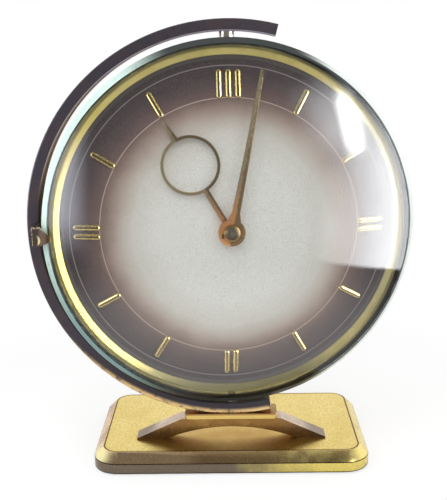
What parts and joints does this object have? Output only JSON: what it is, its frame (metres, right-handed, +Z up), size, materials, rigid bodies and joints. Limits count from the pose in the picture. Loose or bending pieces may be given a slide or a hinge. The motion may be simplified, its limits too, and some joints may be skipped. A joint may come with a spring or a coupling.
{
  "type": "table clock",
  "caption": "Swivelling table clock: round case with domed glass on pivots in a C-shaped arm, over an arched bridge and a bevelled brass base, with a wind-up movement.",
  "frame": {"origin": "on the swivel axis of the case, at the underside of the felt", "axes": "+Z up along the swivel axis, -Y towards the front of the clock, +X to the right as seen from the front"},
  "size_m": [0.1508, 0.0693, 0.1765],
  "materials": {
    "base_brass": "tarnished satin",
    "ballast_iron": "as cast",
    "felt": "felt",
    "bridge_bronze": "worn copper-brown",
    "plate_brass": "polished",
    "arm_bronze": "darkened bronze",
    "stop_bronze": "darkened bronze",
    "pivot_steel": "turned",
    "screw_steel": "turned",
    "case_brass": "satin",
    "glass": "polished, ground edge",
    "gasket_black": "matt",
    "ring_gilt": "polished gilt",
    "dial_face": "brushed silver fading to dark brown",
    "bars_gilt": "polished gilt",
    "hands_copper": "copper",
    "boss_copper": "polished copper",
    "nut_bronze": "dark",
    "movement_brass": "brushed",
    "movement_steel": "polished",
    "spring_steel": "blued",
    "key_brass": "satin"
  },
  "bodies": {
    "stand": {"base_shell": "base_brass", "base_weight": "ballast_iron", "base_felt": "felt", "bridge_foot": "bridge_bronze", "foot_screws": "screw_steel", "seat_plate": "plate_brass", "arm_screws": "screw_steel", "meridian_arm": "arm_bronze", "swivel_stop": "stop_bronze", "stop_screw": "screw_steel", "upper_pivot": "pivot_steel", "lower_pivot": "pivot_steel", "upper_collar": "pivot_steel", "lower_collar": "pivot_steel"},
    "case": {"case_band": "case_brass", "upper_bush": "pivot_steel", "lower_bush": "pivot_steel", "crystal_gasket": "gasket_black", "crystal": "glass", "dial": "dial_face", "reflector_ring": "ring_gilt", "batons_twelve": "bars_gilt", "batons_quarter": "bars_gilt", "batons_hour": "bars_gilt", "rear_cover": "case_brass", "cover_screws": "screw_steel", "front_plate": "movement_brass", "back_plate": "movement_brass", "pillars": "movement_brass", "plate_screws": "screw_steel", "dial_feet": "movement_brass", "minute_stud": "movement_steel", "click_screw": "screw_steel", "hairspring": "spring_steel", "hairspring_stud": "movement_steel"},
    "minute_works": {"centre_arbor": "movement_steel", "minute_hand": "hands_copper", "hand_boss": "boss_copper", "hand_nut": "nut_bronze", "set_knob": "key_brass"},
    "minute_gear": {"minute_wheel": "movement_brass"},
    "hour_works": {"hour_wheel": "movement_brass", "hour_hand": "hands_copper"},
    "escape_gear": {"escape_wheel": "movement_steel"},
    "fourth_gear": {"fourth_wheel": "movement_brass"},
    "third_gear": {"third_wheel": "movement_brass"},
    "centre_gear": {"centre_wheel": "movement_brass"},
    "barrel_gear": {"barrel": "movement_brass"},
    "fork": {"pallet_fork": "movement_steel"},
    "balance": {"balance_wheel": "movement_brass"},
    "winding": {"winding_arbor": "movement_steel", "mainspring": "spring_steel", "ratchet_wheel": "movement_steel", "winding_key": "key_brass"},
    "click_lever": {"click": "movement_steel"},
    "regulator": {"regulator_lever": "movement_steel"}
  },
  "joints": [
    {"name": "case_swivel", "type": "hinge", "parent": "stand", "child": "case", "pos_m": [0, 0, 0.0979], "axis": [0, 0, 1], "range_deg": [-160, 0]},
    {"name": "set_hands", "type": "hinge", "parent": "case", "child": "minute_works", "pos_m": [0, 0, 0.0979], "axis": [0.0872, -0.9962, 0], "continuous": true},
    {"name": "minute_wheel_turn", "type": "hinge", "parent": "case", "child": "minute_gear", "pos_m": [-0.00845, -0.00074, 0.10639], "axis": [0.0872, -0.9962, 0], "continuous": true},
    {"name": "hour_turn", "type": "hinge", "parent": "case", "child": "hour_works", "pos_m": [0, 0, 0.0979], "axis": [0.0872, -0.9962, 0], "continuous": true},
    {"name": "escape_turn", "type": "hinge", "parent": "case", "child": "escape_gear", "pos_m": [0.01724, 0.00151, 0.09563], "axis": [0.0872, -0.9962, 0], "continuous": true},
    {"name": "fourth_turn", "type": "hinge", "parent": "case", "child": "fourth_gear", "pos_m": [0.0156, 0.00136, 0.10493], "axis": [0.0872, -0.9962, 0], "continuous": true},
    {"name": "third_turn", "type": "hinge", "parent": "case", "child": "third_gear", "pos_m": [0.00605, 0.00053, 0.10842], "axis": [0.0872, -0.9962, 0], "continuous": true},
    {"name": "centre_turn", "type": "hinge", "parent": "case", "child": "centre_gear", "pos_m": [0, 0, 0.0979], "axis": [0.0872, -0.9962, 0], "continuous": true},
    {"name": "barrel_turn", "type": "hinge", "parent": "case", "child": "barrel_gear", "pos_m": [-0.01233, -0.00108, 0.08553], "axis": [0.0872, -0.9962, 0], "continuous": true},
    {"name": "fork_rock", "type": "hinge", "parent": "case", "child": "fork", "pos_m": [0.01606, 0.0014, 0.08893], "axis": [0.0872, -0.9962, 0], "range_deg": [-6, 6]},
    {"name": "balance_swing", "type": "hinge", "parent": "case", "child": "balance", "pos_m": [0.01156, 0.00101, 0.08111], "axis": [0.0872, -0.9962, 0], "range_deg": [-150, 150], "stiffness_Nm_per_rad": 0.00001},
    {"name": "wind", "type": "hinge", "parent": "case", "child": "winding", "pos_m": [-0.01233, -0.00108, 0.08553], "axis": [-0.0872, 0.9962, 0], "range_deg": [0, 1800]},
    {"name": "click_lift", "type": "hinge", "parent": "case", "child": "click_lever", "pos_m": [-0.02103, -0.00184, 0.08234], "axis": [-0.0872, 0.9962, 0], "range_deg": [0, 6], "stiffness_Nm_per_rad": 0.00005},
    {"name": "regulate", "type": "hinge", "parent": "case", "child": "regulator", "pos_m": [0.01156, 0.00101, 0.08111], "axis": [0.0872, -0.9962, 0], "range_deg": [-20, 20]}
  ],
  "couplings": [
    {"joint": "minute_wheel_turn", "follows": "set_hands", "ratio": -0.33333},
    {"joint": "hour_turn", "follows": "set_hands", "ratio": 0.083333},
    {"joint": "fourth_turn", "follows": "escape_turn", "ratio": -0.125},
    {"joint": "third_turn", "follows": "escape_turn", "ratio": 0.016667},
    {"joint": "centre_turn", "follows": "escape_turn", "ratio": -0.0020833},
    {"joint": "barrel_turn", "follows": "escape_turn", "ratio": 0.00034722}
  ]
}
